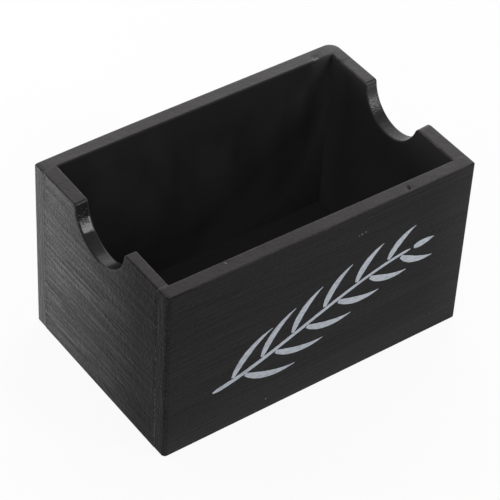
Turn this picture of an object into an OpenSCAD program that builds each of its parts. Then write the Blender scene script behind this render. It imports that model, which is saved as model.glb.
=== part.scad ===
// Open table box for paper sugar packets, made of five thin boards.
// The front and back run the full length and cover the ends of the two end panels.
// The floor is let in between the four walls, flush with their lower edges.
// Glue and headless pins hold the joints, and the box is sanded after it is assembled.
// X runs along the box, the front faces -Y and Z points up.
// The origin is on the table, under the middle of the box.

/* [Box] */
// Length over all, along the front
box_l = 130; // [115:1:170]
// Depth over all, from the front face to the back face
box_d = 83; // [76:1:110]
// Height of the rim above the table
box_h = 75; // [60:1:100]

/* [Boards] */
// Thickness of the front and back panels
long_board_t = 6; // [5:0.5:9]
// Thickness of the two end panels
end_board_t = 5.5; // [4.5:0.5:8]
// Thickness of the floor panel
floor_t = 3; // [2.5:0.5:5]

/* [Finger notches] */
// Radius of the half-round cut in the left end panel
left_notch_r = 15; // [10:0.1:18]
// Radius of the half-round cut in the right end panel
right_notch_r = 14.3; // [10:0.1:18]
// Height of both cutters' centres above the rim
notch_rise = 0.5; // [0:0.1:2]
// Radius where a cut turns out into the rim
shoulder_r = 1.2; // [0.9:0.1:3]
// Radius of the right notch's front shoulder, which is sanded rounder than the others
soft_shoulder_r = 3; // [0.9:0.1:4]
// Place of the left notch along the depth, from the middle
left_notch_y = 0; // [-3:0.5:3]
// Place of the right notch along the depth, from the middle
right_notch_y = 0.3; // [-3:0.1:3]

/* [Sanded edges] */
// Radius along the rim, the base and both arrises of the notches
arris_r = 0.6; // [0.3:0.1:0.8]
// Radius of three of the upright corners
corner_r = 1.2; // [0.9:0.1:2]
// Radius of the back right upright corner, which is sanded rounder than the others
soft_corner_r = 4.5; // [1:0.5:5]

/* [Pins] */
// Diameter of every pin
pin_d = 0.8; // [0.6:0.1:1.2]
// Length of a pin's tapered point
pin_point = 1; // [0.5:0.1:2]
// Width of the flat that ends the point
pin_tip_d = 0.2; // [0.1:0.05:0.4]
// Depth of a pin's blunt end below the painted face
pin_set = 1.2; // [0.8:0.1:2]
// Length of the pins in the corner joints
corner_pin_l = 18; // [14:1:20]
// Number of pins up each corner
corner_pin_rows = 3; // [2:1:4]
// Height of the lowest corner pin above the table, and of the highest below the rim
corner_pin_edge = 12; // [8:1:16]
// Length of the pins that hold the floor
floor_pin_l = 12; // [10:1:14]
// Number of floor pins through the front, and through the back
long_side_pins = 3; // [2:1:4]
// Distance from an inner corner to the nearest floor pin on a long side
long_side_pin_edge = 20; // [12:1:30]
// Number of floor pins through each end panel
end_side_pins = 2; // [2:1:3]
// Distance from an inner corner to the nearest floor pin on an end
end_side_pin_edge = 16; // [10:1:22]

/* [Hidden] */
$fn = 64;

black_paint = [0.12, 0.115, 0.115];
bare_steel = [0.7, 0.7, 0.72];

// How far a cut runs out past the wood
overrun = 1;
quarter = 90;

inner_l = box_l - 2 * end_board_t;
inner_d = box_d - 2 * long_board_t;

// Upright corners in plan, counter-clockwise from the back right: X side, Y side and radius
corners = [
    [1, 1, soft_corner_r],
    [-1, 1, corner_r],
    [-1, -1, corner_r],
    [1, -1, corner_r],
];

notch_z = box_h + notch_rise;

// Middle of a shoulder of radius s beside a notch of radius r, from the notch's middle
function shoulder_z(s) = box_h - s;
function shoulder_y(r, s) = sqrt(pow(r + s, 2) - pow(notch_z - shoulder_z(s), 2));

// How far that shoulder turns, from the rim down to the notch
function shoulder_sweep(r, s) = quarter - asin((notch_z - shoulder_z(s)) / (r + s));

// Centre of the rounding at upright corner i
function corner_centre(i) = [
    corners[i][0] * (box_l / 2 - corners[i][2]),
    corners[i][1] * (box_d / 2 - corners[i][2]),
];

// Length of the straight side from corner i to the next one
function side_run(i) = norm(corner_centre((i + 1) % len(corners)) - corner_centre(i));

// Place k of count places that are spread evenly over a span, from the span's middle
function spread(k, count, span) = span * (k / (count - 1) - 1 / 2);

// Outline of what is sanded off an edge: the wood's rounding is centred on the origin
module sanded_off(r) {
    difference() {
        square(r + overrun);
        circle(r = r);
    }
}

// Waste along a straight edge: the edge runs to +Y, and the wood lies towards -X and below
module straight_edge_waste(run) {
    translate([0, run, 0])
        rotate([quarter, 0, 0])
            linear_extrude(run)
                sanded_off(arris_r);
}

// Waste along an edge that turns about the origin, with the wood inside its radius
module turning_edge_waste(r, sweep) {
    rotate_extrude(angle = sweep)
        translate([r - arris_r, 0])
            sanded_off(arris_r);
}

// Outline of the box from above
module plan_outline() {
    difference() {
        square([box_l, box_d], center = true);
        for (i = [0 : len(corners) - 1])
            translate(corner_centre(i))
                rotate(quarter * i)
                    sanded_off(corners[i][2]);
    }
}

// Waste all the way round the rim's outer edge, along each side and round each corner
module rim_edge_waste() {
    for (i = [0 : len(corners) - 1])
        translate(corner_centre(i))
            rotate(quarter * i) {
                turning_edge_waste(corners[i][2], quarter);
                rotate(quarter)
                    translate([corners[i][2] - arris_r, 0, 0])
                        straight_edge_waste(side_run(i));
            }
}

// The assembled box as sanded from outside, before anything is hollowed: each board ends on it
module sanded_outside() {
    difference() {
        linear_extrude(box_h)
            plan_outline();
        translate([0, 0, box_h - arris_r])
            rim_edge_waste();
        translate([0, 0, arris_r])
            mirror([0, 0, 1])
                rim_edge_waste();
    }
}

// A headless pin, or the hole that it fills, from the origin along +Y
module pin(length) {
    rotate([-quarter, 0, 0]) {
        cylinder(d = pin_d, h = length - pin_point);
        translate([0, 0, length - pin_point])
            cylinder(d1 = pin_d, d2 = pin_tip_d, h = pin_point);
    }
}

// Corner pins that go in through one long side: -1 is the front and 1 the back
module corner_pin_row(side) {
    for (end = [-1, 1])
        for (k = [0 : corner_pin_rows - 1])
            translate([
                end * (box_l - end_board_t) / 2,
                side * (box_d / 2 - pin_set),
                box_h / 2 + spread(k, corner_pin_rows, box_h - 2 * corner_pin_edge),
            ])
                rotate(side > 0 ? 2 * quarter : 0)
                    pin(corner_pin_l);
}

// Floor pins that go in through one long side: -1 is the front and 1 the back
module long_side_pin_row(side) {
    for (k = [0 : long_side_pins - 1])
        translate([
            spread(k, long_side_pins, inner_l - 2 * long_side_pin_edge),
            side * (box_d / 2 - pin_set),
            floor_t / 2,
        ])
            rotate(side > 0 ? 2 * quarter : 0)
                pin(floor_pin_l);
}

// Floor pins that go in through one end: -1 is the left and 1 the right
module end_side_pin_row(side) {
    for (k = [0 : end_side_pins - 1])
        translate([
            side * (box_l / 2 - pin_set),
            spread(k, end_side_pins, inner_d - 2 * end_side_pin_edge),
            floor_t / 2,
        ])
            rotate(side * quarter)
                pin(floor_pin_l);
}

// A full-length panel: -1 is the front and 1 the back
module long_panel(side) {
    color(black_paint)
        difference() {
            intersection() {
                sanded_outside();
                translate([0, side * (box_d - long_board_t) / 2, box_h / 2])
                    cube([box_l, long_board_t, box_h], center = true);
            }
            translate([-side * inner_l / 2, side * (inner_d / 2 + arris_r), box_h - arris_r])
                rotate(-side * quarter)
                    straight_edge_waste(inner_l);
            corner_pin_row(side);
            long_side_pin_row(side);
        }
}

// Section through an end board's sanded edge: the edge lies at +X, depth away from the origin
module edge_section(depth) {
    difference() {
        translate([0, -end_board_t / 2])
            square([depth, end_board_t]);
        for (face = [0, 1])
            mirror([0, face])
                translate([depth - arris_r, end_board_t / 2 - arris_r])
                    sanded_off(arris_r);
    }
}

// Straight stretch of an end board, beside its notch, from place y_low to place y_high
module board_stretch(y_low, y_high) {
    translate([y_low, 0, 0])
        rotate([quarter, 0, quarter])
            linear_extrude(y_high - y_low)
                edge_section(box_h);
}

// The turned cutter of the notch: it leaves the same sanded edge as a straight stretch has
module notch_cutter(r) {
    rotate_extrude()
        difference() {
            translate([0, -end_board_t / 2 - overrun])
                square([r + arris_r, end_board_t + 2 * overrun]);
            translate([r + 2 * arris_r, 0])
                mirror([1, 0])
                    edge_section(2 * arris_r);
        }
}

// The wood under a notch of radius r, between the two straight stretches
module notch_wood(r, front_s, back_s) {
    difference() {
        linear_extrude(end_board_t, center = true)
            polygon([
                [-shoulder_y(r, front_s), 0],
                [shoulder_y(r, back_s), 0],
                [shoulder_y(r, back_s), shoulder_z(back_s)],
                [0, notch_z],
                [-shoulder_y(r, front_s), shoulder_z(front_s)],
            ]);
        translate([0, notch_z, 0])
            notch_cutter(r);
    }
}

// A rounded shoulder of radius s, where the rim turns down into a notch of radius r
module shoulder(r, s) {
    translate([shoulder_y(r, s), shoulder_z(s), 0])
        rotate(quarter)
            rotate_extrude(angle = shoulder_sweep(r, s))
                edge_section(s);
}

// An end board flat on its side: X runs along the depth, Y up and Z through the thickness
module end_board(notch_y, r, front_s) {
    board_stretch(-inner_d / 2, notch_y - shoulder_y(r, front_s));
    board_stretch(notch_y + shoulder_y(r, shoulder_r), inner_d / 2);
    translate([notch_y, 0, 0]) {
        notch_wood(r, front_s, shoulder_r);
        shoulder(r, shoulder_r);
        mirror([1, 0, 0])
            shoulder(r, front_s);
    }
}

// An end panel between the front and back panels: -1 is the left and 1 the right
module end_panel(side, notch_y, r, front_s) {
    color(black_paint)
        difference() {
            translate([side * (box_l - end_board_t) / 2, 0, 0])
                rotate([quarter, 0, quarter])
                    end_board(notch_y, r, front_s);
            mirror([side > 0 ? 0 : 1, 0, 0])
                translate([box_l / 2 - arris_r, -inner_d / 2, arris_r])
                    mirror([0, 0, 1])
                        straight_edge_waste(inner_d);
            corner_pin_row(-1);
            corner_pin_row(1);
            end_side_pin_row(side);
        }
}

module front_panel() {
    long_panel(-1);
}

module back_panel() {
    long_panel(1);
}

module left_end_panel() {
    end_panel(-1, left_notch_y, left_notch_r, shoulder_r);
}

module right_end_panel() {
    end_panel(1, right_notch_y, right_notch_r, soft_shoulder_r);
}

module floor_panel() {
    color(black_paint)
        difference() {
            translate([0, 0, floor_t / 2])
                cube([inner_l, inner_d, floor_t], center = true);
            floor_pins();
        }
}

module corner_pins() {
    color(bare_steel) {
        corner_pin_row(-1);
        corner_pin_row(1);
    }
}

module floor_pins() {
    color(bare_steel)
        for (side = [-1, 1]) {
            long_side_pin_row(side);
            end_side_pin_row(side);
        }
}

front_panel();
back_panel();
left_end_panel();
right_end_panel();
floor_panel();
corner_pins();
floor_pins();
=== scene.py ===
# %% [markdown]
# # A painted wooden box for sugar packets
# The real object is five thin boards, glued and pinned, sanded as one box and brushed with satin
# black paint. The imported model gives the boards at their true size, but without wear. This lesson
# models each board again over its packed one, with the edges, brush lines and small knocks that a
# real board has, and leaves the hidden pins as they are.

import math

import bmesh
import bpy
from mathutils import Matrix, Vector, noise


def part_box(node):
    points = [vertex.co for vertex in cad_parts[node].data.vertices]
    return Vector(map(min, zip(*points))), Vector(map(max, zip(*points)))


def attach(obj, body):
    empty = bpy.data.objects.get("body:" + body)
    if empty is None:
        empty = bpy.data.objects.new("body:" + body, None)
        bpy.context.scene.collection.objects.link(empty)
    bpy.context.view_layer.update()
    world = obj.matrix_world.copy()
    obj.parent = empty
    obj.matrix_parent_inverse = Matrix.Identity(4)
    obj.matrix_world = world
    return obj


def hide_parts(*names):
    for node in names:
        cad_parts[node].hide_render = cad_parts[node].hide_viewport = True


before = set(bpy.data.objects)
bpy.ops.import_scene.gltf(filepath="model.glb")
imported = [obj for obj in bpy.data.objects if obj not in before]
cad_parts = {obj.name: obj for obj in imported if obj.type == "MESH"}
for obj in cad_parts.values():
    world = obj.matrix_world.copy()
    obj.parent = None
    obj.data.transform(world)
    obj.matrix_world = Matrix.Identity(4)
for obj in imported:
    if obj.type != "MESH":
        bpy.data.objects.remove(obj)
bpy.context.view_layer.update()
bpy.ops.object.select_all(action="DESELECT")
print("packed nodes:", sorted(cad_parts))

# %% [markdown]
# ## Sizes
# The imported model says how big every board is, so those sizes are read and never typed. Only what a
# box round a node can't tell is named here: radii, the notch's centre and the depth of wear.

# %% Sizes of the boards and of their edges
MM = 0.001
front_low, front_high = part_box("front_panel")
back_low, back_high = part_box("back_panel")
left_low, left_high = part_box("left_end_panel")
right_low, right_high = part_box("right_end_panel")
floor_low, floor_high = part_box("floor_panel")

RIM = front_high.z
INNER_LEFT, INNER_RIGHT = left_high.x, right_low.x
INNER_FRONT, INNER_BACK = front_high.y, back_low.y

ARRIS = 0.6 * MM
# The upright corners, from the back left one anticlockwise seen from above
BACK_LEFT_CORNER, FRONT_LEFT_CORNER = 1.2 * MM, 1.7 * MM
FRONT_RIGHT_CORNER, BACK_RIGHT_CORNER = 0.7 * MM, 4.5 * MM
# The fine bevels at the joints with the front board and with the back board
FRONT_GROOVE, BACK_GROOVE = 0.2 * MM, 0.03 * MM
# How far the notches' middles lie above the rim, and how deep under it their walls may reach
NOTCH_RISE, NOTCH_DEPTH = 0.5 * MM, 15 * MM
# Each notch: its place along the depth, its radius, and its front and back shoulders' radii
LEFT_NOTCH = (0.0, 15 * MM, 1.2 * MM, 1.2 * MM)
RIGHT_NOTCH = (0.3 * MM, 14.3 * MM, 3 * MM, 1.2 * MM)
# Places that are closer than this count as one
NEAR = 0.02 * MM

# %% [markdown]
# ## The camera
# It looks down at the front left corner, from the left, with a long lens, so that upright edges
# lean together only a little. It is placed by what it looks at, how far away it stands, its
# heading, its drop and its roll, as a photographer would describe it.

# %% Place the camera
LOOKS_AT = Vector((-2.49, -2.72, 37.18)) * MM
STANDS_OFF = 822.4 * MM
# The heading is turned from +Y towards +X, and the drop is measured from level
HEADING, DROP, ROLL = (math.radians(a) for a in (37.722, 42.223, 3.37))
LENS_MM, SENSOR_MM = 165.48, 36

ahead = Vector((math.sin(HEADING) * math.cos(DROP), math.cos(HEADING) * math.cos(DROP),
                -math.sin(DROP)))
level = ahead.cross(Vector((0, 0, 1))).normalized()
upward = level.cross(ahead)
across = level * math.cos(ROLL) + upward * math.sin(ROLL)
above = upward * math.cos(ROLL) - level * math.sin(ROLL)

camera_data = bpy.data.cameras.new("camera")
camera_data.lens, camera_data.sensor_width = LENS_MM, SENSOR_MM
camera = bpy.data.objects.new("camera", camera_data)
bpy.context.scene.collection.objects.link(camera)
camera.matrix_world = (Matrix.Translation(LOOKS_AT - ahead * STANDS_OFF)
                       @ Matrix((across, above, -ahead)).transposed().to_4x4())
bpy.context.scene.camera = camera
bpy.context.scene.view_settings.view_transform = "Standard"
print("camera at", [round(c / MM) for c in camera.matrix_world.translation], "mm")

# %% [markdown]
# ## The floor
# The box stands on a pale floor, which its side faces mirror. A floor that only catches light would
# look grey beside the box, so part of its white shows by itself, to the camera and in reflections.
# The rest is lit, so the floor keeps the shadow.

# %% Make the floor
FLOOR_SIZE = 4.0
FLOOR_WHITE, FLOOR_ROUGHNESS = 0.95, 0.9
FLOOR_OWN_WHITE = 0.92

bpy.ops.mesh.primitive_plane_add(size=FLOOR_SIZE)
floor = bpy.context.active_object
floor.name = "pale_floor"
floor_paint = bpy.data.materials.new("pale_floor")
floor_paint.use_nodes = True
floor_shader = floor_paint.node_tree.nodes["Principled BSDF"]
floor_shader.inputs["Base Color"].default_value = (FLOOR_WHITE, FLOOR_WHITE, FLOOR_WHITE, 1)
floor_shader.inputs["Roughness"].default_value = FLOOR_ROUGHNESS
floor_shader.inputs["Specular IOR Level"].default_value = 0.0
floor.data.materials.append(floor_paint)
print("floor:", floor.name, "white", FLOOR_WHITE)

# %% Let part of its white show by itself
floor_tree = floor_paint.node_tree
light_path = floor_tree.nodes.new("ShaderNodeLightPath")
own_white = floor_tree.nodes.new("ShaderNodeEmission")
blend = floor_tree.nodes.new("ShaderNodeMixShader")
seen = None
for ray in ("Is Camera Ray", "Is Glossy Ray", "Is Transmission Ray"):
    either = floor_tree.nodes.new("ShaderNodeMath")
    either.operation = "MAXIMUM"
    either.inputs[1].default_value = 0
    floor_tree.links.new(light_path.outputs[ray], either.inputs[0])
    if seen:
        floor_tree.links.new(seen, either.inputs[1])
    seen = either.outputs["Value"]
share = floor_tree.nodes.new("ShaderNodeMath")
share.operation = "MULTIPLY"
share.inputs[1].default_value = FLOOR_OWN_WHITE
floor_tree.links.new(seen, share.inputs[0])
floor_tree.links.new(share.outputs["Value"], blend.inputs["Fac"])
floor_tree.links.new(floor_shader.outputs["BSDF"], blend.inputs[1])
floor_tree.links.new(own_white.outputs["Emission"], blend.inputs[2])
floor_tree.links.new(blend.outputs["Shader"],
                     floor_tree.nodes["Material Output"].inputs["Surface"])
print("floor material:", len(floor_tree.nodes), "nodes")

# %% [markdown]
# ## The lights
# A black box is seen by what it mirrors, so the lights are large and soft: a wide panel behind and
# above for the rim, one low at the front right for the left notch, and one close by at the back
# left that fades along the left end. The world fills the rest at under half the level of white.

# %% Make the world and the soft panels
WORLD_LEVEL = 0.42
# Each panel: the way to it from the box, how far off it hangs, its width and height, all in metres,
# and how bright it looks, where 1 is white
PANELS = {
    "panel_above": ((0.62, 0.62, 0.58), 1.0, 1.1, 1.0, 1.45),
    "panel_front_right": ((0.45, -0.77, 0.42), 1.4, 0.40, 0.85, 7.4),
    "panel_back_left": ((-0.55, 0.80, 0.22), 0.34, 0.30, 0.14, 4.0),
}

world = bpy.data.worlds.new("studio")
bpy.context.scene.world = world
world.use_nodes = True
world.node_tree.nodes["Background"].inputs["Color"].default_value = (1, 1, 1, 1)
world.node_tree.nodes["Background"].inputs["Strength"].default_value = WORLD_LEVEL


def soft_panel(name, towards, away, width, height, level):
    """Hangs a panel light at the far end of a direction, where it faces the box."""
    data = bpy.data.lights.new(name, "AREA")
    data.shape = "RECTANGLE"
    data.size, data.size_y = width, height
    data.energy = level * math.pi * width * height
    panel = bpy.data.objects.new(name, data)
    bpy.context.scene.collection.objects.link(panel)
    direction = Vector(towards).normalized()
    panel.location = direction * away
    panel.rotation_euler = direction.to_track_quat("Z", "Y").to_euler()


for name, settings in PANELS.items():
    soft_panel(name, *settings)

# %% [markdown]
# ## Picking by place
# In a script nobody clicks, so edges and faces are picked by a test of where they lie. These small
# helpers choose one piece and select, in edit mode, what a test wants.

# %% Helpers for picking
def only(piece):
    """Selects one piece and nothing else."""
    if bpy.context.mode != "OBJECT":
        bpy.ops.object.mode_set(mode="OBJECT")
    bpy.ops.object.select_all(action="DESELECT")
    piece.select_set(True)
    bpy.context.view_layer.objects.active = piece


def pick(piece, kind, parts_of):
    """Selects, in edit mode, the edges or faces that parts_of finds, and counts them."""
    bpy.ops.mesh.select_mode(type=kind)
    bpy.ops.mesh.select_all(action="DESELECT")
    shape = bmesh.from_edit_mesh(piece.data)
    picked = parts_of(shape)
    for part in picked:
        part.select_set(True)
    bmesh.update_edit_mesh(piece.data)
    return len(picked)


def pick_edges(piece, wanted):
    """Selects the edges whose two ends pass the test."""
    return pick(piece, "EDGE", lambda shape: [
        edge for edge in shape.edges if wanted(*(v.co for v in edge.verts))])


def pick_faces(piece, wanted):
    """Selects the faces whose middle passes the test."""
    return pick(piece, "FACE", lambda shape: [
        face for face in shape.faces if wanted(face.calc_center_median())])


def both(a, b, axis, place):
    """True where both ends of an edge lie on one plane."""
    return max(abs(getattr(a, axis) - place), abs(getattr(b, axis) - place)) < NEAR


print("what lies within", NEAR / MM, "mm of a plane counts as on it")

# %% [markdown]
# ## Rounding and slicing
# Two tools are enough for all five boards. A bevel with several segments does what sandpaper does to
# an edge. A bisect draws lines across a board's faces and takes nothing away, and each line gives the
# grain and the knocks more points to move.

# %% Helpers for rounding and slicing
def round_edges(piece, wanted, radius, segments):
    """Bevels the edges that pass the test into a round of that radius."""
    only(piece)
    bpy.ops.object.mode_set(mode="EDIT")
    if pick_edges(piece, wanted):
        bpy.ops.mesh.bevel(offset=radius, segments=segments, profile=0.5, affect="EDGES",
                           clamp_overlap=False)
    bpy.ops.object.mode_set(mode="OBJECT")


def slice_across(piece, axis, places):
    """Cuts a piece at each place along an axis, so that its faces can carry fine relief."""
    only(piece)
    bpy.ops.object.mode_set(mode="EDIT")
    square_to = Vector((axis == "x", axis == "y", axis == "z"))
    for place in places:
        bpy.ops.mesh.select_all(action="SELECT")
        bpy.ops.mesh.bisect(plane_co=square_to * place, plane_no=square_to)
    bpy.ops.object.mode_set(mode="OBJECT")


def steps(low, high, step):
    """Places between two ends, about a step apart, without the ends."""
    count = max(1, round((high - low) / step))
    return [low + (high - low) * k / count for k in range(1, count)]


print("a 10 mm length is sliced at", [round(place, 1) for place in steps(0, 10, 2.5)], "mm")

# %% [markdown]
# ## The boards as blanks
# The front, the back and the floor start as cubes stretched to their packed sizes. The transform
# is applied at once, so each object stays at the origin and its place lies in its mesh.

# %% Cut the straight blanks
def blank(name, low, high):
    """A board with square edges between two corners."""
    bpy.ops.mesh.primitive_cube_add(size=1, location=(low + high) / 2)
    board = bpy.context.active_object
    board.name = board.data.name = name
    board.scale = high - low
    bpy.ops.object.transform_apply(location=True, rotation=True, scale=True)
    return board


front_board = blank("front_board", front_low, front_high)
back_board = blank("back_board", back_low, back_high)
floor_board = blank("floor_board", floor_low, floor_high)
print("blanks:", front_board.name, back_board.name, floor_board.name)

# %% [markdown]
# ## The front and back boards
# The box was sanded after it was glued, so only edges that face out are rounded. On a real box the
# upright corners get the most sanding, and here the back right one is rounder than the rest. The
# rim's inner edge is eased only between the end boards, so the board is first cut there. A tiny
# bevel on the edges that meet an end board leaves the fine line that shows where boards join.

# %% Round the edges of the long boards
# A small round gets fewer segments than a large one
SMALL_CORNER, SMALL_SEGMENTS, LARGE_SEGMENTS = 1.5 * MM, 5, 10
ARRIS_SEGMENTS, BEVEL_SEGMENTS = 4, 1


def shape_long_board(board, low, high, outer_y, inner_y, corner_radii, groove):
    """Rounds a long board: corner_radii are its left and right upright corners'."""
    for end_x, radius in zip((low.x, high.x), corner_radii):
        round_edges(board, lambda a, b: both(a, b, "x", end_x) and both(a, b, "y", outer_y),
                    radius, SMALL_SEGMENTS if radius < SMALL_CORNER else LARGE_SEGMENTS)
    slice_across(board, "x", (INNER_LEFT, INNER_RIGHT))

    def outer_edge(a, b):
        flat = both(a, b, "z", low.z) or both(a, b, "z", high.z)
        split = both(a, b, "x", INNER_LEFT) or both(a, b, "x", INNER_RIGHT)
        return flat and not both(a, b, "y", inner_y) and not split

    def inner_rim(a, b):
        between = max(abs(a.x), abs(b.x)) < INNER_RIGHT + NEAR
        return both(a, b, "z", high.z) and both(a, b, "y", inner_y) and between

    def joint(a, b):
        over_end = min(abs(a.x), abs(b.x)) > INNER_RIGHT - NEAR
        ends = both(a, b, "x", low.x) or both(a, b, "x", high.x)
        return both(a, b, "y", inner_y) and (ends or (both(a, b, "z", high.z) and over_end))

    round_edges(board, outer_edge, ARRIS, ARRIS_SEGMENTS)
    round_edges(board, inner_rim, ARRIS, ARRIS_SEGMENTS)
    round_edges(board, joint, groove, BEVEL_SEGMENTS)


shape_long_board(front_board, front_low, front_high, front_low.y, INNER_FRONT,
                 (FRONT_LEFT_CORNER, FRONT_RIGHT_CORNER), FRONT_GROOVE)
shape_long_board(back_board, back_low, back_high, back_high.y, INNER_BACK,
                 (BACK_LEFT_CORNER, BACK_RIGHT_CORNER), BACK_GROOVE)
print("long boards:", len(front_board.data.polygons), len(back_board.data.polygons), "faces")

# %% [markdown]
# ## The end boards
# An end board could be a block with a drum cut out of it, but then its shoulders would be sharp. So
# its outline is drawn first: up one side, along the rim, round a shoulder, down through the notch
# and up again. A shoulder's middle lies where its round touches both the rim and the notch, so the
# outline turns without a kink.

# %% Draw the outline of an end board
ARC_STEP = math.radians(4)


def arc(centre, radius, start, end):
    """Points round a circle in an end board's plane, from one angle to another."""
    count = max(2, round(abs(end - start) / ARC_STEP))
    angles = [start + (end - start) * k / count for k in range(count + 1)]
    return [(centre[0] + radius * math.cos(a), centre[1] + radius * math.sin(a)) for a in angles]


def end_outline(low, high, notch_y, notch_radius, front_shoulder, back_shoulder):
    """The outline of an end board as (y, z) points, anticlockwise seen from +X."""
    notch_z = high.z + NOTCH_RISE

    def shoulder(radius, side):
        dip = math.asin((NOTCH_RISE + radius) / (notch_radius + radius))
        reach = math.cos(dip) * (notch_radius + radius)
        return (notch_y + side * reach, high.z - radius), dip

    back_middle, back_dip = shoulder(back_shoulder, 1)
    front_middle, front_dip = shoulder(front_shoulder, -1)
    quarter = math.pi / 2
    points = [(low.y, low.z), (high.y, low.z), (high.y, high.z)]
    points += arc(back_middle, back_shoulder, quarter, math.pi - back_dip)
    points += arc((notch_y, notch_z), notch_radius, -back_dip, front_dip - math.pi)[1:-1]
    points += arc(front_middle, front_shoulder, front_dip, quarter)
    points += [(low.y, high.z)]
    return points


print("outline of the left end board:", len(end_outline(left_low, left_high, *LEFT_NOTCH)), "points")

# %% [markdown]
# ### Pushing out the end boards
# The drawn face is pushed out to the board's thickness. Then the edges that face out and the rim's
# and the notch's edges on both faces are rounded like the long boards', and the edges that meet the
# front and the back get the fine bevel of a joint.

# %% Push out and round the end boards
def end_board(name, low, high, outer_x, inner_x, notch):
    """An end board with its notch, its rim and notch edges rounded on both faces."""
    outline = [(low.x, y, z) for y, z in end_outline(low, high, *notch)]
    mesh = bpy.data.meshes.new(name)
    mesh.from_pydata(outline, [], [range(len(outline))])
    board = bpy.data.objects.new(name, mesh)
    bpy.context.scene.collection.objects.link(board)
    only(board)
    bpy.ops.object.mode_set(mode="EDIT")
    bpy.ops.mesh.select_all(action="SELECT")
    bpy.ops.mesh.extrude_region_move(TRANSFORM_OT_translate={"value": (high.x - low.x, 0, 0)})
    bpy.ops.mesh.select_all(action="SELECT")
    bpy.ops.mesh.normals_make_consistent(inside=False)
    bpy.ops.object.mode_set(mode="OBJECT")

    def open_edge(a, b):
        joint = both(a, b, "y", low.y) or both(a, b, "y", high.y)
        outside = both(a, b, "x", outer_x)
        inside = both(a, b, "x", inner_x) and not both(a, b, "z", low.z)
        return not joint and (outside or inside)

    def joint_edge(a, b, y):
        return both(a, b, "y", y) and not both(a, b, "x", inner_x) and not both(a, b, "z", low.z)

    round_edges(board, open_edge, ARRIS, ARRIS_SEGMENTS)
    round_edges(board, lambda a, b: joint_edge(a, b, low.y), FRONT_GROOVE, BEVEL_SEGMENTS)
    round_edges(board, lambda a, b: joint_edge(a, b, high.y), BACK_GROOVE, BEVEL_SEGMENTS)
    return board


left_board = end_board("left_end_board", left_low, left_high, left_low.x, left_high.x, LEFT_NOTCH)
right_board = end_board("right_end_board", right_low, right_high, right_high.x, right_low.x,
                        RIGHT_NOTCH)
print("end boards:", len(left_board.data.polygons), len(right_board.data.polygons), "faces")

# %% [markdown]
# ## Rows and columns
# Relief needs points to move. Each board is sliced into fine rows up its height and wider columns
# along it, because grain runs along a board: it changes fast across the rows and slowly along them.

# %% Slice the boards
END_ROW, END_COLUMN = 0.5 * MM, 2.5 * MM
LONG_ROW, LONG_COLUMN = 0.75 * MM, 2.5 * MM

# Beside each edge of a thickness: this keeps the rim and the notch walls flat up to their edges
EDGE_ROW = 1.0 * MM

for board, low, high in ((left_board, left_low, left_high), (right_board, right_low, right_high)):
    slice_across(board, "x", (low.x + EDGE_ROW, high.x - EDGE_ROW))
    slice_across(board, "z", steps(left_low.z, RIM, END_ROW))
    slice_across(board, "y", steps(left_low.y, left_high.y, END_COLUMN))
for board, low, high in ((front_board, front_low, front_high), (back_board, back_low, back_high)):
    slice_across(board, "y", (low.y + EDGE_ROW, high.y - EDGE_ROW))
    slice_across(board, "z", steps(front_low.z, RIM, LONG_ROW))
    slice_across(board, "x", steps(front_low.x, front_high.x, LONG_COLUMN))
slice_across(floor_board, "x", steps(floor_low.x, floor_high.x, LONG_COLUMN))
slice_across(floor_board, "y", steps(floor_low.y, floor_high.y, LONG_COLUMN))
print("sliced:", {b.name: len(b.data.polygons) for b in (left_board, right_board, front_board,
                                                        back_board, floor_board)})

# %% [markdown]
# ## Uneven end boards
# No thin board is quite even. Seen from above, the left end board gets thinner towards the front and
# the right one towards the back. Scaling a whole board would thin it evenly, so each point is moved
# by itself, in proportion to its distance from the outer face. The unevenness starts at the floor
# board and is full at the rim.

# %% Make the end boards uneven
# How much thicker each is at the rim, at its back and its front
LEFT_SPARE = (0.45 * MM, -0.85 * MM)
RIGHT_SPARE = (-0.45 * MM, 0.55 * MM)


def held(value):
    """Holds a share between 0 and 1."""
    return min(1.0, max(0.0, value))


def rise(place):
    """How high a place is, from 0 at the floor board's top to 1 at the rim."""
    return held((place.z - floor_high.z) / (RIM - floor_high.z))


def thicken(board, outer_x, inner_x, spare):
    """Moves a board's points away from its outer face, in proportion to their distance from it."""
    inward = math.copysign(1, inner_x - outer_x)
    for vertex in board.data.vertices:
        through = (vertex.co.x - outer_x) / (inner_x - outer_x)
        forward = (INNER_BACK - vertex.co.y) / (INNER_BACK - INNER_FRONT)
        more = (spare[0] + (spare[1] - spare[0]) * forward) * rise(vertex.co) * through
        vertex.co.x += more * inward


def reach_inwards(board):
    """The least distance of a board's points from the middle of the box's length, in mm."""
    return round(min(abs(v.co.x) for v in board.data.vertices) / MM, 2)


thicken(left_board, left_low.x, left_high.x, LEFT_SPARE)
thicken(right_board, right_high.x, right_low.x, RIGHT_SPARE)
print("end boards reach in to", reach_inwards(left_board), "and", reach_inwards(right_board), "mm")

# %% [markdown]
# ### One shoulder and one foot
# By hand, no two shoulders come out alike: the right notch's front shoulder was sanded a little way
# forward. A smooth pull that fades out round the shoulder does this without a kink. The left end
# board's outer lower edge is hardly sanded at all, so the points of its round move to a smaller one.

# %% Ease the shoulder and sharpen the foot
EASED, EASED_REACH = Vector((61, -14, 74)) * MM, 8 * MM
EASED_BY = Vector((0, -0.9, 0)) * MM
FOOT_ARRIS = 0.25 * MM

for vertex in right_board.data.vertices:
    share = held(1 - (vertex.co - EASED).length / EASED_REACH)
    vertex.co += EASED_BY * share * share * (3 - 2 * share)

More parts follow.
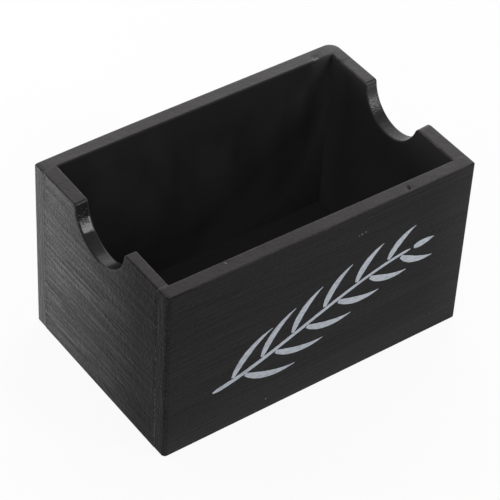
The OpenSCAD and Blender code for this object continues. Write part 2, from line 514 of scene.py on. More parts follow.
middle = Vector((left_low.x + ARRIS, left_low.z + ARRIS))
foot = 0
for vertex in left_board.data.vertices:
    reach = Vector((vertex.co.x, vertex.co.z)) - middle
    if reach.x < 0 and reach.y < 0:
        vertex.co.x = left_low.x + FOOT_ARRIS * (1 + reach.x / ARRIS)
        vertex.co.z = left_low.z + FOOT_ARRIS * (1 + reach.y / ARRIS)
        foot += 1
print("points moved at the left foot:", foot)

# %% [markdown]
# ### The back corners
# Sanding also took down the rim's outer edges at the back left corner, and took in the box's right
# side towards the back. Two boards meet at each of these corners, so both are moved by one rule,
# which depends only on the place, and the joint between them stays closed.

# %% Sand the back corners down
SLUMP, SLUMP_REACH = 0.6 * MM, 50 * MM
TAKEN_IN = 0.25 * MM
# The higher this is, the closer to the rim a change stays
STAYS_AT_RIM = 4


def slump(board, corner, reach, drop):
    """Lowers a rim round a corner of the box: its outer edges most, its inner edges not at all."""
    for vertex in board.data.vertices:
        place = vertex.co
        outward = held(max((place.y - INNER_BACK) / (corner.y - INNER_BACK),
                           (place.x - INNER_LEFT) / (corner.x - INNER_LEFT)))
        share = held(1 - (place.xy - corner.xy).length / reach)
        place.z -= drop * share * share * outward * rise(place) ** STAYS_AT_RIM


def take_in(board, most):
    """Moves the right side's outer points in, from nothing at mid-depth to the most at the back."""
    for vertex in board.data.vertices:
        outward = held((vertex.co.x - INNER_RIGHT) / (right_high.x - INNER_RIGHT))
        backward = held(vertex.co.y / back_high.y)
        vertex.co.x -= most * outward * backward * rise(vertex.co)


for board in (left_board, back_board):
    slump(board, Vector((left_low.x, back_high.y)), SLUMP_REACH, SLUMP)
for board in (right_board, back_board):
    take_in(board, TAKEN_IN)
print("left end board's highest point:", round(max(v.co.z for v in left_board.data.vertices) / MM, 2))

# %% [markdown]
# ## Grain and hollows
# Sanded softwood keeps shallow hollows between its harder lines, and paint only partly fills them.
# Each outer face is pressed in by a noise that is long along the grain and short across it. The
# front is pressed in a little more all over, which leaves room for the painted sprig's thickness.

# %% Press the grain in
FACING_POWER = 4
PAINT_ROOM = 0.07 * MM
END_GRAIN_DEPTH = 0.11 * MM
LONG_GRAIN_DEPTH = 0.03 * MM
END_LINE, END_RUN = 1.7 * MM, 45 * MM
LONG_LINE, LONG_RUN = 3.5 * MM, 70 * MM
# How far a line drifts across, and the run and line of that drift
DRIFT, DRIFT_RUN, DRIFT_LINE = 1.5 * MM, 60 * MM, 25 * MM


def grain(along, across, seed, line, run):
    """Depth of the grain from 0 to 1: long lines that drift a little across."""
    drift = DRIFT * noise.noise(Vector((along / DRIFT_RUN, across / DRIFT_LINE, seed)))
    wide = noise.noise(Vector((along / run, (across + drift) / line, seed)))
    fine = noise.noise(Vector((along / (0.4 * run), (across + drift) / (0.55 * line), seed + 5)))
    return held(0.5 + 0.6 * wide + 0.35 * fine)


def press(board, outward, depth_at):
    """Moves the points of the face that looks along outward inwards, by a depth for each place."""
    outward = Vector(outward)
    facing = [max(0.0, v.normal.dot(outward)) ** FACING_POWER for v in board.data.vertices]
    moved = [(v, share) for v, share in zip(board.data.vertices, facing) if share > NEAR]
    for vertex, share in moved:
        vertex.co -= outward * depth_at(vertex.co) * share
    return len(moved)


def end_depth(seed):
    """The depth of an end board's grain at a place."""
    return lambda p: END_GRAIN_DEPTH * grain(p.y, p.z, seed, END_LINE, END_RUN)


def long_depth(seed, more=0.0):
    """The depth of a long board's grain at a place, with some more all over."""
    return lambda p: more + LONG_GRAIN_DEPTH * grain(p.x, p.z, seed, LONG_LINE, LONG_RUN)


pressed = (press(left_board, (-1, 0, 0), end_depth(3.1)),
           press(right_board, (1, 0, 0), end_depth(8.4)),
           press(front_board, (0, -1, 0), long_depth(12.2, PAINT_ROOM)),
           press(back_board, (0, 1, 0), long_depth(21.7)))
print("points pressed in, left, right, front and back:", pressed)

# %% [markdown]
# ## Knocks
# A used box has a few: the back rim's inner edge is chipped near the right corner, so is the right
# rim's, and the front rim has a dent and a speck. Each place is cut finer first, and then its
# points are pressed in, less and less towards the edge of the mark.

# %% Chip and dent the rims
# Each knock: its middle in mm, its reach and its depth in mm, and the way it presses
BACK_CHIP = ((53, 35.6, 74.9), 3.2, 0.5, (0, 0.6, -1))
RIGHT_CHIP = ((59.8, 29.5, 74.9), 2.4, 0.35, (0.5, 0, -1))
FRONT_DENT = ((36.9, -39.4, 75), 1.3, 0.7, (0, 0, -1))
FRONT_SPECK = ((-38.4, -36.5, 75), 0.8, 0.2, (0, 0, -1))
FINER_CUTS = 4
KNOCK_SEED = 31.7
CRUMBLE = 0.6 * MM


def knock(board, middle, reach, depth, way):
    """Presses the points near a place in, by a ragged depth that fades towards its edge."""
    middle, reach, depth = Vector(middle) * MM, reach * MM, depth * MM
    only(board)
    bpy.ops.object.mode_set(mode="EDIT")
    if pick_faces(board, lambda face: (face - middle).length < reach):
        bpy.ops.mesh.subdivide(number_cuts=FINER_CUTS)
    bpy.ops.object.mode_set(mode="OBJECT")
    way = Vector(way).normalized()
    for vertex in board.data.vertices:
        share = 1 - (vertex.co - middle).length / reach
        if share > 0:
            ragged_by = 0.75 + 0.6 * noise.noise(vertex.co / CRUMBLE + Vector((KNOCK_SEED, 0, 0)))
            vertex.co += way * depth * min(1, 1.6 * share) * ragged_by


knock(back_board, *BACK_CHIP)
knock(right_board, *RIGHT_CHIP)
knock(front_board, *FRONT_DENT)
knock(front_board, *FRONT_SPECK)
print("after the knocks:", len(front_board.data.polygons), len(back_board.data.polygons),
      len(right_board.data.polygons), "faces")

# %% [markdown]
# ## Paint
# All the paint is one satin black, but it looks different on each cut of the wood. Across the end
# boards the brush left ridges, the front is smoother and duller, end grain drinks the paint, and
# the notch walls are glossy with specks. So there is one material for each, all made from fields:
# noise on object coordinates, stretched along the grain, that drives tint, gloss and bump. Object
# coordinates need no seams, and they keep the noise at one size on every board. Here a field can be
# added, subtracted and multiplied like a number, and each such step becomes a Math node.

# %% Fields that vary over a surface
class Field:
    """The output of a node in a material, which can be reckoned with like a number."""

    def __init__(self, material, socket):
        self.material, self.socket = material, socket

    def join(self, operation, other, turned=False):
        """Joins this field and another, or a plain number, in a Math node."""
        tree = self.material.node_tree
        node = tree.nodes.new("ShaderNodeMath")
        node.operation = operation
        for socket, value in zip(node.inputs, (other, self) if turned else (self, other)):
            if isinstance(value, Field):
                tree.links.new(value.socket, socket)
            else:
                socket.default_value = value
        return Field(self.material, node.outputs["Value"])

    def __add__(self, other):
        return self.join("ADD", other)

    def __sub__(self, other):
        return self.join("SUBTRACT", other)

    def __rsub__(self, other):
        return self.join("SUBTRACT", other, turned=True)

    def __mul__(self, other):
        return self.join("MULTIPLY", other)

    def __abs__(self):
        return self.join("ABSOLUTE", 0.0)

    def larger(self, other):
        return self.join("MAXIMUM", other)

    def smaller(self, other):
        return self.join("MINIMUM", other)

    def remap(self, source_range, wanted_range=(0, 1)):
        """Stretches the field from one range to another, and holds it there."""
        tree = self.material.node_tree
        node = tree.nodes.new("ShaderNodeMapRange")
        (node.inputs["From Min"].default_value, node.inputs["From Max"].default_value) = source_range
        (node.inputs["To Min"].default_value, node.inputs["To Max"].default_value) = wanted_range
        tree.links.new(self.socket, node.inputs["Value"])
        return Field(self.material, node.outputs["Result"])


# %% [markdown]
# ### Where fields come from
# Three kinds are enough here: blotches of noise with a size in millimetres, the place along an
# axis, and thin creases, which appear where a noise passes through one of its middle values.

# %% Blotches, places and creases
def blotches(material, size, detail=2.0, seed=0.0, warp=0.0):
    """Noise from 0 to 1 whose blotches have the given size, in millimetres, along x, y and z."""
    tree = material.node_tree
    coordinates = tree.nodes.new("ShaderNodeTexCoord")
    mapping = tree.nodes.new("ShaderNodeMapping")
    mapping.inputs["Scale"].default_value = [1 / (s * MM) for s in size]
    mapping.inputs["Location"].default_value = (seed, 1.7 * seed, 2.3 * seed)
    texture = tree.nodes.new("ShaderNodeTexNoise")
    texture.inputs["Scale"].default_value = 1.0
    texture.inputs["Detail"].default_value = detail
    texture.inputs["Distortion"].default_value = warp
    tree.links.new(coordinates.outputs["Object"], mapping.inputs["Vector"])
    tree.links.new(mapping.outputs["Vector"], texture.inputs["Vector"])
    return Field(material, texture.outputs["Fac"])


def place_along(material, axis):
    """The place along one axis, in metres."""
    tree = material.node_tree
    coordinates = tree.nodes.new("ShaderNodeTexCoord")
    split = tree.nodes.new("ShaderNodeSeparateXYZ")
    tree.links.new(coordinates.outputs["Object"], split.inputs["Vector"])
    return Field(material, split.outputs[axis.upper()])


def creases(field, width, middle=0.5):
    """Thin lines, 1 on the line and 0 beside it, where a field passes through its middle."""
    return abs(field - middle).remap((0, width), (1, 0))


# %% [markdown]
# ### From fields to a surface
# The shader takes a field for its colour, its roughness and its coat, and a bump for its normal.
# Its level of specular reflection is one number for the whole material.

# %% Give fields to the shader
def shader_of(material):
    """The shader that draws a material's surface."""
    return material.node_tree.nodes["Principled BSDF"]


def begin(name, specular):
    """A new node material with its level of specular reflection set on the shader itself."""
    material = bpy.data.materials.new(name)
    material.use_nodes = True
    shader_of(material).inputs["Specular IOR Level"].default_value = specular
    return material


def mixed(material, share):
    """A node that mixes two colours by a field."""
    node = material.node_tree.nodes.new("ShaderNodeMix")
    node.data_type = "RGBA"
    material.node_tree.links.new(share.socket, node.inputs["Factor"])
    return node


def tint(material, share, plain, other):
    """Mixes two colours by a field and gives the result to the shader's base colour."""
    node = mixed(material, share)
    node.inputs["A"].default_value = (*plain, 1)
    node.inputs["B"].default_value = (*other, 1)
    material.node_tree.links.new(node.outputs["Result"], shader_of(material).inputs["Base Color"])


def tint_over(material, share, colour):
    """Mixes one more colour over the base colour that the shader has."""
    node, base = mixed(material, share), shader_of(material).inputs["Base Color"]
    material.node_tree.links.new(base.links[0].from_socket, node.inputs["A"])
    node.inputs["B"].default_value = (*colour, 1)
    material.node_tree.links.new(node.outputs["Result"], base)


def gloss(material, roughness):
    """Gives a field to the shader's roughness."""
    material.node_tree.links.new(roughness.socket, shader_of(material).inputs["Roughness"])


def coat(material, share, roughness):
    """Lays a glossier film over the paint, as thick as the field says."""
    shader_of(material).inputs["Coat Roughness"].default_value = roughness
    material.node_tree.links.new(share.socket, shader_of(material).inputs["Coat Weight"])


def relief(material, layers):
    """Bumps the surface: each layer is a field from 0 to 1 and its height in millimetres."""
    heights = [field * height for field, height in layers]
    tree, shader = material.node_tree, shader_of(material)
    bump = tree.nodes.new("ShaderNodeBump")
    bump.inputs["Distance"].default_value = MM
    tree.links.new(sum(heights[1:], heights[0]).socket, bump.inputs["Height"])
    tree.links.new(bump.outputs["Normal"], shader.inputs["Normal"])
    tree.links.new(bump.outputs["Normal"], shader.inputs["Coat Normal"])


# %% [markdown]
# ### The faces of the end boards
# Two sizes of line run along the board, and a cross-hatch of short marks comes from the brush. The
# ridges are painted paler, as painted highlights, and the furrows and long grooves darker, as painted
# shade. The coat is fuller, so glossier, towards the back.

# %% Paint on the end faces
BLACK = (0.012, 0.0117, 0.0119)
END_GREY = (0.021, 0.0205, 0.0208)
SOOT = (0.0075, 0.0073, 0.0075)
LINES_MIDDLE, FURROWS_ABOVE = 0.54, 0.1
# Most of a noise lies between these two values
USUAL = (0.3, 0.7)

end_paint = begin("paint_end_faces", 0.10)
y, z = (place_along(end_paint, axis) for axis in "yz")
wobble = blotches(end_paint, (4, 3, 2), seed=13.0)
lines = blotches(end_paint, (60, 60, 1.6), seed=2.0, warp=0.1) + wobble * 0.08
ridges = creases(lines, 0.07, LINES_MIDDLE)
furrows = creases(lines, 0.06, LINES_MIDDLE + FURROWS_ABOVE)
swells = blotches(end_paint, (60, 80, 7), seed=6.0, warp=0.2)
grooves = creases(swells, 0.018)
hatch = blotches(end_paint, (60, 1.6, 4), seed=9.0)
crumbs = blotches(end_paint, (1.1, 1.1, 1.1), seed=4.0)

towards_back = y.remap((-24 * MM, 26 * MM))
brushed = hatch.remap(USUAL, (-0.2, 0.2)) * (1.0 - towards_back)
# Paler ridges are painted highlights, and darker furrows and grooves are painted shade; the crumbs
# and the hatch are the paint's own tone
painted_ridge_light_and_tone = (ridges * 0.85 - furrows.larger(grooves) * 0.35
              + crumbs.remap((0.34, 0.66), (-0.35, 0.35)) + brushed)
painted_ridge_light_and_tone = painted_ridge_light_and_tone * z.remap((45 * MM, 72 * MM), (1, 0.6))
tint(end_paint, painted_ridge_light_and_tone + 0.2, SOOT, END_GREY)
gloss(end_paint, towards_back.remap((0, 1), (0.66, 0.45)) + swells.remap(USUAL, (-0.05, 0.08)))
film = (towards_back + swells * 0.5).remap((0.2, 1.3), (0, 0.52))
film = film * z.remap((2 * MM, 45 * MM), (0.7, 1))
coat(end_paint, film * (painted_ridge_light_and_tone + 1.0), 0.34)
relief(end_paint, [(ridges, 0.10), (furrows, -0.10), (grooves, -0.12), (brushed, 0.4),
                   (crumbs.remap((0.36, 0.64)), 0.10)])
print(end_paint.name, "has", len(end_paint.node_tree.nodes), "nodes")

# %% [markdown]
# ### The faces of the front and back boards
# Here the sanding was finer and the coat is duller, with faint long streaks. Faint rings show at the
# top left, where the saw cut across the grain's waves. The foot is painted paler, as painted light
# bounced up from the floor, and the board is also paler towards its right end.

# %% Paint on the long faces
long_paint = begin("paint_long_faces", 0.08)
x, z = (place_along(long_paint, axis) for axis in "xz")
streaks = blotches(long_paint, (40, 60, 1.2), detail=3, seed=3.0, warp=0.25)
bands = blotches(long_paint, (90, 60, 4.5), seed=7.0)
peel = blotches(long_paint, (1.5, 1.2, 1.1), seed=5.0)
waves = blotches(long_paint, (75, 60, 6), detail=1, seed=15.0, warp=0.8)
rings = creases(waves, 0.05) * (z - x * 0.5).remap((50 * MM, 90 * MM))
# Painted light: the foot is paler, as if lit from the floor below, and the right end is paler too
painted_floor_bounce = z.remap((14 * MM, 2 * MM), (0, 0.6))
near_right = x.remap((48 * MM, 66 * MM), (0, 0.75))
tint(long_paint, painted_floor_bounce.larger(near_right) - rings * 0.3
     + (streaks + peel).remap((0.8, 1.2), (0, 0.4)), SOOT, END_GREY)
gloss(long_paint, streaks.remap(USUAL, (0.48, 0.54)) + bands.remap(USUAL, (-0.05, 0.05)))
relief(long_paint, [(streaks, 0.14), (creases(streaks, 0.05), 0.01), (bands, 0.15), (peel, 0.12),
                    (rings, -0.06)])
print(long_paint.name, "has", len(long_paint.node_tree.nodes), "nodes")

# %% [markdown]
# ### Bare and stray spots
# Where a knock bared the rim, the paint is rubbed grey, and a few pale flecks of stray paint landed
# on the front. Both are round spots with a ragged edge: a fall-off round each middle, to which a
# fine noise is added before everything under a threshold is cut away.

# %% Rubbed places and flecks
# Each fleck: its middle in mm and its reach in mm, as for a knock
FLECKS = [((x, -41.4, z), reach) for x, z, reach in (
    (14.6, 64.8, 0.6), (15.9, 65.1, 0.7), (17.6, 65.4, 0.6), (-21.4, 5.0, 0.8))]
FLECK_GREY = (0.14, 0.145, 0.15)
BARED = (BACK_CHIP, FRONT_SPECK)
RAGGED = (1.1, 1.1, 1.1)


def rubbed_places(material, knocks, seed):
    """A ragged field that is 1 at the knocks, where the paint is rubbed, and 0 away from them."""
    tree = material.node_tree
    coordinates = tree.nodes.new("ShaderNodeTexCoord")
    total = blotches(material, RAGGED, detail=3, seed=seed)
    for middle, reach, *_ in knocks:
        away = tree.nodes.new("ShaderNodeVectorMath")
        away.operation = "DISTANCE"
        away.inputs[1].default_value = Vector(middle) * MM
        tree.links.new(coordinates.outputs["Object"], away.inputs[0])
        away = Field(material, away.outputs["Value"])
        total = total + away.remap((reach * MM, 0.3 * reach * MM), (0, 0.55))
    return total.remap((0.86, 0.98))


tint_over(long_paint, rubbed_places(long_paint, FLECKS, 14.5), FLECK_GREY)
print("flecks:", len(FLECKS), "bared places:", len(BARED))

# %% [markdown]
# ### End grain
# The ends of the front and back boards show at the box's sides. Their pores stand upright and drink
# the first coats, so the front board's ends stay dull. The back board's were filled and shine more.

# %% Paint on end grain and on rounded corners
def end_grain_paint(name, specular, rough):
    """Paint on the ends of a long board: streaks run up the end, and rough is its range of gloss."""
    material = begin(name, specular)
    pores = blotches(material, (60, 1.2, 12.0), detail=3, seed=8.0)
    pits = blotches(material, (1.0, 0.9, 1.3), detail=3, seed=1.0)
    tint(material, pores.remap((0.35, 0.65), (-0.6, 0.8)) + pits.remap((0.36, 0.64), (-0.45, 0.45)),
         SOOT, END_GREY)
    gloss(material, pores.remap(USUAL, rough))
    relief(material, [(pores.remap((0.36, 0.64)), 0.16), (pits.remap((0.4, 0.66)), 0.16)])
    return material


thirsty_paint = end_grain_paint("paint_end_grain_front", 0.07, (0.45, 0.62))
filled_paint = end_grain_paint("paint_end_grain_back", 0.6, (0.34, 0.48))
corner_paint = end_grain_paint("paint_corners", 0.1, (0.45, 0.6))
print("end grain:", thirsty_paint.name, filled_paint.name, corner_paint.name)

# %% [markdown]
# ### The rim
# The rim was handled most: its black is warm and mottled, its knocks are bare, and a thin broken
# line is rubbed along the front's top edge, left of the middle. It is glossier towards the back and
# the right, and most of all on the back board.

# %% Paint on the rim
WARM_BLACK = (0.0165, 0.0123, 0.0135)
SCUFFED = (0.14, 0.13, 0.13)
NICKED_X, NICKED_REACH = -3 * MM, (10 * MM, 4 * MM)
NICKED_Y = (-41.0 * MM, -41.2 * MM)

rim_paint = begin("paint_rim", 0.21)
x, y = (place_along(rim_paint, axis) for axis in "xy")
mottle = blotches(rim_paint, (1.5, 1.5, 1.5), detail=3, seed=2.5)
clouds = blotches(rim_paint, (14, 14, 14), seed=4.5)
nicks = blotches(rim_paint, (3, 0.8, 0.8), seed=12.5).remap((0.48, 0.56))
nicked = y.remap(NICKED_Y) * abs(x - NICKED_X).remap(NICKED_REACH, (0, 0.6)) * nicks
rubbed = rubbed_places(rim_paint, BARED, 7.7).larger(nicked)
tint(rim_paint, mottle.remap((0.35, 0.65), (0, 0.09)) + rubbed, WARM_BLACK, SCUFFED)
gloss(rim_paint, mottle.remap(USUAL, (0.36, 0.46)) + clouds.remap(USUAL, (-0.04, 0.06)))
relief(rim_paint, [(mottle, 0.12), (clouds, 0.3)])
film = (y.remap((INNER_FRONT, INNER_BACK), (0, 0.18)) + x.remap((-20 * MM, 60 * MM), (0, 0.165))
        + y.remap((INNER_BACK, INNER_BACK + NEAR), (0, 0.04)))
coat(rim_paint, film, 0.36)
print(rim_paint.name, "has", len(rim_paint.node_tree.nodes), "nodes")

# %% [markdown]
# ### The notches
# Paint ran down the notch walls and dried glossy, with specks of grit near the rim. The right notch
# was brushed more coarsely, so it is duller and bumpier.

# %% Paint on the notch walls
notch_paint = begin("paint_notches", 0.32)
x, z = (place_along(notch_paint, axis) for axis in "xz")
specks = blotches(notch_paint, (0.7, 0.7, 0.7), seed=3.5)
waves = blotches(notch_paint, (5.0, 2.2, 2.2), seed=5.5)
grit = specks.remap((0.58, 0.68)) * z.remap((RIM - 9 * MM, RIM - 5 * MM))
coarser = x.remap((-10 * MM, 10 * MM))
bumps = (coarser + 0.15) * specks
tint(notch_paint, grit * 0.4 + waves.remap((0.35, 0.65), (0, 0.06)), BLACK, SCUFFED)
gloss(notch_paint, bumps.remap((0.1, 0.65), (0.0, 0.2))
      + z.remap((RIM - 13.5 * MM, RIM - 10.5 * MM), (0.26, 0.09)))
relief(notch_paint, [(grit, 0.05), (waves, 0.05), (bumps, 0.12)])
print(notch_paint.name, "has", len(notch_paint.node_tree.nodes), "nodes")

# %% [markdown]
# ### The inside
# The coat inside was left matt. It is painted paler low down, to the right, along the feet of the
# walls and in the back right corner, as painted light that lifts the shaded inside. The end boards'
# inner walls and the inner floor take paler copies of it, which are painted light too.

# %% Paint on the faces that look inwards
EVEN_PAINTED_LIGHT = 0.6


def matt_paint(name, dark, pale, low_right=EVEN_PAINTED_LIGHT, back_right=0.0):
    """Matt paint, made paler low down and to the right as painted light that lifts the shade inside.
    """
    material = begin(name, 0.12)
    x, y, z = (place_along(material, axis) for axis in "xyz")
    smears = blotches(material, (14, 14, 30), seed=6.5)
    dust = blotches(material, (0.8, 0.8, 0.8), seed=7.5)
    # Each share below makes the paint paler where the inside lies in shade, as painted light
    low = z.remap((65 * MM, 5 * MM), (-0.06, 0.26))
    low_and_right = (x - z * 1.5).remap((-20 * MM, 60 * MM), (0, low_right))
    beside_wall = z.remap((16 * MM, 3 * MM), (0, 0.3)) + x.remap((40 * MM, 60 * MM), (0, 0.5))
    below_rim = z.remap((73 * MM, 62 * MM), (0, low_right - EVEN_PAINTED_LIGHT))
    near_corner = x.remap((50 * MM, INNER_RIGHT), (0, back_right)).smaller(
        y.remap((24 * MM, INNER_BACK), (0, back_right)))
    painted_light = low + low_and_right + beside_wall * below_rim + near_corner
    tint(material, painted_light + smears.remap((0.35, 0.65), (0, 0.08)), dark, pale)
    gloss(material, smears.remap(USUAL, (0.5, 0.65)))
    relief(material, [(smears, 0.06), (dust, 0.01)])
    return material


inside_paint = matt_paint("paint_inside", (0.018, 0.0176, 0.0178), (0.12, 0.118, 0.119),
                          low_right=1.4, back_right=0.42)
# The end boards' inner walls: a paler copy, as painted light
painted_light_wall_paint = matt_paint("paint_inside_walls_painted_light", (0.05, 0.0492, 0.0496), (0.14, 0.138, 0.139),
                         back_right=0.38)
# The inner floor: a paler copy, as painted light
floor_top_paint = matt_paint("paint_inside_floor", (0.034, 0.0334, 0.0337), (0.075, 0.074, 0.0745))
print("inside:", inside_paint.name, painted_light_wall_paint.name, floor_top_paint.name)

# %% [markdown]
# ### Joints and worn edges
# The fine line of each joint is painted pale grey, paler towards the back, as a painted highlight
# along it, which also lifts the shade of its groove. The rim's inner edges are worn through in
# patches, where packets rub as they are pulled out, and are painted paler along the edge, partly as
# wear and partly as a painted highlight.

# %% Paint in the joints and on worn edges
# The joint lines are painted pale as a painted highlight, paler towards the back
JOINT_DARK, JOINT_PALE = (0.15, 0.147, 0.148), (0.24, 0.238, 0.24)

joint_paint = begin("paint_in_joints", 0.1)
gaps = blotches(joint_paint, (5, 5, 5), detail=3, seed=11.5)
towards_back = place_along(joint_paint, "y").remap((-30 * MM, 30 * MM))
tint(joint_paint, gaps.remap(USUAL, (-0.25, 0.25)) + towards_back, JOINT_DARK, JOINT_PALE)
gloss(joint_paint, gaps.remap(USUAL, (0.5, 0.7)))
relief(joint_paint, [(gaps, 0.05)])

# The rim's inner edges: patches painted paler, partly as wear and partly as a painted highlight
worn_and_highlit_paint = begin("paint_worn_and_highlit_edge", 0.4)
rubs_and_highlights = blotches(worn_and_highlit_paint, (5.0, 5.0, 5.0), detail=4, seed=9.5)
tint(worn_and_highlit_paint, rubs_and_highlights.remap((0.42, 0.62), (0.04, 0.6)) + rubbed_places(worn_and_highlit_paint, BARED, 7.7),
     WARM_BLACK, SCUFFED)
gloss(worn_and_highlit_paint, rubs_and_highlights.remap(USUAL, (0.36, 0.5)))
relief(worn_and_highlit_paint, [(rubs_and_highlights, 0.04)])
print("materials:", [m.name for m in bpy.data.materials if m.name.startswith("paint")])

# %% [markdown]
# ## Which paint goes where
# Giving out materials by hand would mean picking hundreds of small faces. Instead every face asks
# which way it looks and where it lies, and takes its material from that.

# %% Choose a paint by place
PAINTS = [long_paint, end_paint, thirsty_paint, filled_paint, rim_paint, notch_paint, inside_paint,
          painted_light_wall_paint, floor_top_paint, worn_and_highlit_paint, joint_paint, corner_paint]
ENDS = (left_board, right_board)
# How much of a face's normal lies along an axis, for it to count as looking that way
MOSTLY, HALFWAY, PARTLY, A_LITTLE, BARELY = 0.71, 0.5, 0.4, 0.35, 0.25
# A joint's bevel looks midway between two axes
BEVEL_LOW, BEVEL_HIGH = 0.6, 0.8
SHOULDER_FALL = 2.5 * MM


def paint_of(board, middle, normal):
    """The material for a face of the box, from its middle and the way it looks."""
    inner = (INNER_LEFT - NEAR < middle.x < INNER_RIGHT + NEAR
             and INNER_FRONT - NEAR < middle.y < INNER_BACK + NEAR)
    beside_joint = abs(abs(middle.y) - INNER_BACK) < FRONT_GROOVE
    if beside_joint and BEVEL_LOW < normal.z < BEVEL_HIGH and abs(middle.x) > INNER_RIGHT:
        return joint_paint
    if normal.z > A_LITTLE and middle.z > RIM - SHOULDER_FALL:
        axis = "x" if board in ENDS else "y"
        inward = -getattr(normal, axis) * math.copysign(1, getattr(middle, axis))
        if inward > -BEVEL_LOW and (board in ENDS or abs(normal.x) < BEVEL_LOW):
            if inward > HALFWAY:
                return inside_paint if board is back_board else worn_and_highlit_paint
            return rim_paint
    if beside_joint and BEVEL_LOW < abs(normal.x) < BEVEL_HIGH:
        return joint_paint
    if board in ENDS:
        if abs(normal.x) > PARTLY:
            return painted_light_wall_paint if normal.x * middle.x < 0 else end_paint
        return notch_paint if normal.z > -HALFWAY and middle.z > RIM - NOTCH_DEPTH else inside_paint
    if board is floor_board:
        return floor_top_paint
    if inner:
        return inside_paint
    rounded = min(abs(normal.x), abs(normal.y)) > BARELY
    if rounded and normal.y * middle.y > 0 and middle.x < 0:
        return corner_paint
    if abs(normal.x) > MOSTLY:
        return thirsty_paint if board is front_board else filled_paint
    if normal.y * middle.y < 0:
        return inside_paint
    return long_paint if normal.z > -MOSTLY else inside_paint


BOARDS = (
    (front_board, "front_panel"),
    (back_board, "back_panel"),
    (left_board, "left_end_panel"),
    (right_board, "right_end_panel"),
    (floor_board, "floor_panel"),
)
for board, node in BOARDS:
    for paint in PAINTS:
        board.data.materials.append(paint)
    for face in board.data.polygons:
        face.material_index = PAINTS.index(paint_of(board, face.center, face.normal))
print("faces with rim paint:", sum(face.material_index == PAINTS.index(rim_paint)
                                   for board, node in BOARDS for face in board.data.polygons))

# %% [markdown]
# ## The front, out of true
# The glued box isn't quite square: its front left corner leans in at the rim, and the front board is
# thinner there towards its right end. This comes after the paint is shared out, because the paint
# goes by the places that the boards have when they are true.

# %% Lean the front left corner and finish the boards
LEAN, THINNED = 0.5 * MM, 0.5 * MM
LEAN_ENDS, THINNING_STARTS = 50 * MM, -20 * MM
LEAN_DEPTH, LEAN_FADE = 20 * MM, 1.5
SMOOTH_ANGLE = math.radians(35)


def lean(board):
    """Leans the box's front left corner in and thins the front towards the right, at the rim."""
    for vertex in board.data.vertices:
        place = vertex.co
        height = max(0.0, place.z / RIM) ** STAYS_AT_RIM
        leftward = max(0.0, (LEAN_ENDS - place.x) / (LEAN_ENDS - left_low.x)) ** LEAN_FADE
        forward = held((place.y + NOTCH_DEPTH) / (INNER_FRONT + NOTCH_DEPTH))
        outward = max(0.0, (INNER_LEFT - place.x) / (INNER_LEFT - left_low.x))
        rightward = max(0.0, (place.x - THINNING_STARTS) / (INNER_RIGHT - THINNING_STARTS))
        inside = held((place.y - front_low.y) / (INNER_FRONT - front_low.y))
        place.y += height * forward * (LEAN * leftward - THINNED * rightward * inside)
        place.x += LEAN * height * outward * held(-place.y / LEAN_DEPTH)


for board, node in BOARDS:
    lean(board)
    only(board)
    bpy.ops.object.shade_smooth_by_angle(angle=SMOOTH_ANGLE)
    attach(board, "root")
    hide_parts(node)
print("finished:", [board.name for board, node in BOARDS])

# %% [markdown]
# ## The painted sprig
# A leafy sprig is brushed across the front in pale grey. Flat shapes laid on the wood would have
# hard edges, so a stroke is a thin tube whose radius swells and tapers, pressed almost flat.

# %% Brush strokes
STROKE_THICKNESS = 0.06 * MM
# How much a stroke's width wanders, and over what length
WANDER, WANDER_RUN = 0.09, 1.3 * MM
ROUNDNESS = 5


def stroke(points, widths, into):
    """Adds one brush stroke to a curve: points in the plane of the front, and a width at each."""
    spline = into.splines.new("POLY")
    spline.points.add(len(points) - 1)
    for item, place, width in zip(spline.points, points, widths):
        item.co = (place.x, 0, place.y, 1)
        item.radius = width / 2


def press_flat(data, name):
    """Turns the strokes into a mesh, flattens them and lays them on the front face."""
    data.dimensions, data.bevel_depth, data.bevel_resolution = "3D", 1.0, ROUNDNESS
    data.use_fill_caps = True
    piece = bpy.data.objects.new(name, data)
    bpy.context.scene.collection.objects.link(piece)
    only(piece)
    bpy.ops.object.convert(target="MESH")
    piece = bpy.context.active_object
    deepest = max(abs(v.co.y) for v in piece.data.vertices)
    for vertex in piece.data.vertices:
        vertex.co.y = front_low.y + PAINT_ROOM + vertex.co.y / deepest * STROKE_THICKNESS
    only(piece)
    bpy.ops.object.shade_smooth()
    return piece


def ragged(width, place, seed):
    """A width a little changed, because a brush never keeps it quite steady."""
    return width * (1 + WANDER * noise.noise(Vector((place.x, place.y, seed)) / WANDER_RUN))


print(f"a stroke's width wanders by less than {WANDER:.0%}")

# %% [markdown]
# ### The stem
# The stem is one smooth curve across the front, given by its two ends and the two points that pull
# it. It gets thinner towards the tip, and the brush was set down and lifted softly at its ends.

# %% Brush the stem
STEM_START, STEM_END = Vector((-45, 21)) * MM, Vector((39, 47)) * MM
STEM_PULLS = (Vector((-20, 24)) * MM, Vector((10, 44)) * MM)
STEM_WIDTH, STEM_TAPER = 2.0 * MM, 0.35
STEM_STEPS = 90
# The share of its width that the stroke starts and ends with, and the steps to its full width
SOFT_START, SOFT_STEPS = 0.35, 4


def stem_point(t):
    """A point on the stem's Bezier curve, in the plane of the front, and the way it heads there."""
    a, b, c, d = STEM_START, *STEM_PULLS, STEM_END
    u = 1 - t
    place = a * u**3 + b * 3 * u * u * t + c * 3 * u * t * t + d * t**3
    heading = (b - a) * u * u + (c - b) * 2 * u * t + (d - c) * t * t
    return place, heading.normalized()


def stem_width(step):
    """The stem's width at a step, before the brush wanders."""
    from_end = min(step, STEM_STEPS - step)
    return (STEM_WIDTH * (1 - STEM_TAPER * step / STEM_STEPS)
            * min(1, SOFT_START + from_end / SOFT_STEPS))


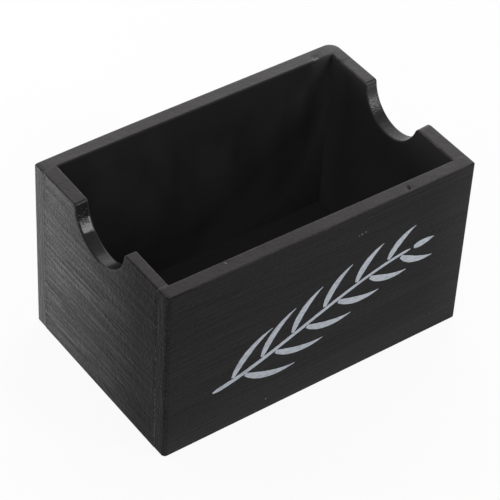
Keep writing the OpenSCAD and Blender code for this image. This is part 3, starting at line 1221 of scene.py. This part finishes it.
stem_data = bpy.data.curves.new("sprig_stem", "CURVE")
stem_points = [stem_point(k / STEM_STEPS)[0] for k in range(STEM_STEPS + 1)]
stem_widths = [ragged(stem_width(k), place, 0.0) for k, place in enumerate(stem_points)]
stroke(stem_points, stem_widths, stem_data)
sprig_stem = press_flat(stem_data, "sprig_stem")
print("stem:", len(sprig_stem.data.polygons), "faces")

# %% [markdown]
# ### The leaves
# The leaves are comma strokes that leave the stem in pairs, bend back along it and get shorter
# towards the tip, where one small leaf ends the sprig. One function brushes every leaf, so that
# they are alike without being the same.

# %% Brush the leaves
LEAF_WIDTH, LEAF_THINNEST = 3.0 * MM, 0.12
LEAF_LENGTHS = (23 * MM, 16 * MM)
TIP_LENGTH = 9 * MM
LEAF_PAIRS, LEAF_STEPS = 6, 22
LEAF_LEAN = math.radians(52)
LEAF_BEND = math.radians(44)
OFF_THE_STEM = 1.6 * MM
# Where on the stem the first leaf above and the first below it start, and how far up the last is
FIRST_ABOVE, FIRST_BELOW, LEAFY_SHARE = 0.10, 0.16, 0.78

leaf_data = bpy.data.curves.new("sprig_leaves", "CURVE")


def swell_at(share):
    """How full a leaf is along its length: slim at its start, fullest before the middle."""
    return math.sin(math.pi * min(1.0, 0.06 + 0.94 * share) ** 0.75) ** 0.8


def leaf(t, side, length):
    """One comma stroke that leaves the stem at t: side is 1 above the stem and -1 below."""
    place, heading = stem_point(t)
    angle = math.atan2(heading.y, heading.x) + side * LEAF_LEAN
    points, widths = [], []
    place = place + Vector((math.cos(angle), math.sin(angle))) * OFF_THE_STEM
    for k in range(LEAF_STEPS + 1):
        share = k / LEAF_STEPS
        points.append(place.copy())
        width = LEAF_WIDTH * max(LEAF_THINNEST, swell_at(share))
        widths.append(ragged(width, place, t * 40 + side))
        turn = angle - side * LEAF_BEND * share
        place = place + Vector((math.cos(turn), math.sin(turn))) * length / LEAF_STEPS
    stroke(points, widths, leaf_data)


for pair in range(LEAF_PAIRS):
    share = pair / (LEAF_PAIRS - 1)
    length = LEAF_LENGTHS[0] + (LEAF_LENGTHS[1] - LEAF_LENGTHS[0]) * share
    leaf(FIRST_ABOVE + LEAFY_SHARE * share, 1, length)
    leaf(FIRST_BELOW + LEAFY_SHARE * share, -1, length)
leaf(1.0, 0, TIP_LENGTH)
sprig_leaves = press_flat(leaf_data, "sprig_leaves")
print("leaves:", len(sprig_leaves.data.polygons), "faces")

# %% [markdown]
# ### The sprig's paint
# The pale paint is opaque but dabbed on, so the black shows through a little where it is thin.

# %% Paint of the sprig
PALE, PALE_THIN = (0.44, 0.47, 0.52), (0.33, 0.355, 0.40)
sprig_paint = begin("paint_sprig", 0.3)
dabs = blotches(sprig_paint, (1.8, 5.0, 1.0), detail=4, seed=1.5)
tint(sprig_paint, dabs.remap((0.35, 0.55)), PALE_THIN, PALE)
gloss(sprig_paint, dabs.remap(USUAL, (0.5, 0.65)))
relief(sprig_paint, [(dabs, 0.03)])
for piece in (sprig_stem, sprig_leaves):
    piece.data.materials.append(sprig_paint)
    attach(piece, "root")
print("painted:", sprig_stem.name, sprig_leaves.name)

# %% [markdown]
# ## The pins
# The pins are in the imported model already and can't be seen, because filler and paint cover them.
# They keep their meshes and get a material like drawn steel wire, for whoever takes the box apart.

# %% Steel for the pins
STEEL, DULL_STEEL = (0.56, 0.55, 0.54), (0.38, 0.37, 0.36)
pin_steel = begin("drawn_pin_steel", 0.5)
shader_of(pin_steel).inputs["Metallic"].default_value = 1.0
drawn = blotches(pin_steel, (0.15, 3.0, 0.15), seed=2.0)
tint(pin_steel, drawn.remap(USUAL), DULL_STEEL, STEEL)
gloss(pin_steel, drawn.remap(USUAL, (0.3, 0.5)))
relief(pin_steel, [(drawn, 0.01)])
for node in ("corner_pins", "floor_pins"):
    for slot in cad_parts[node].material_slots:
        slot.material = pin_steel
print("steel on the pins:", pin_steel.name)
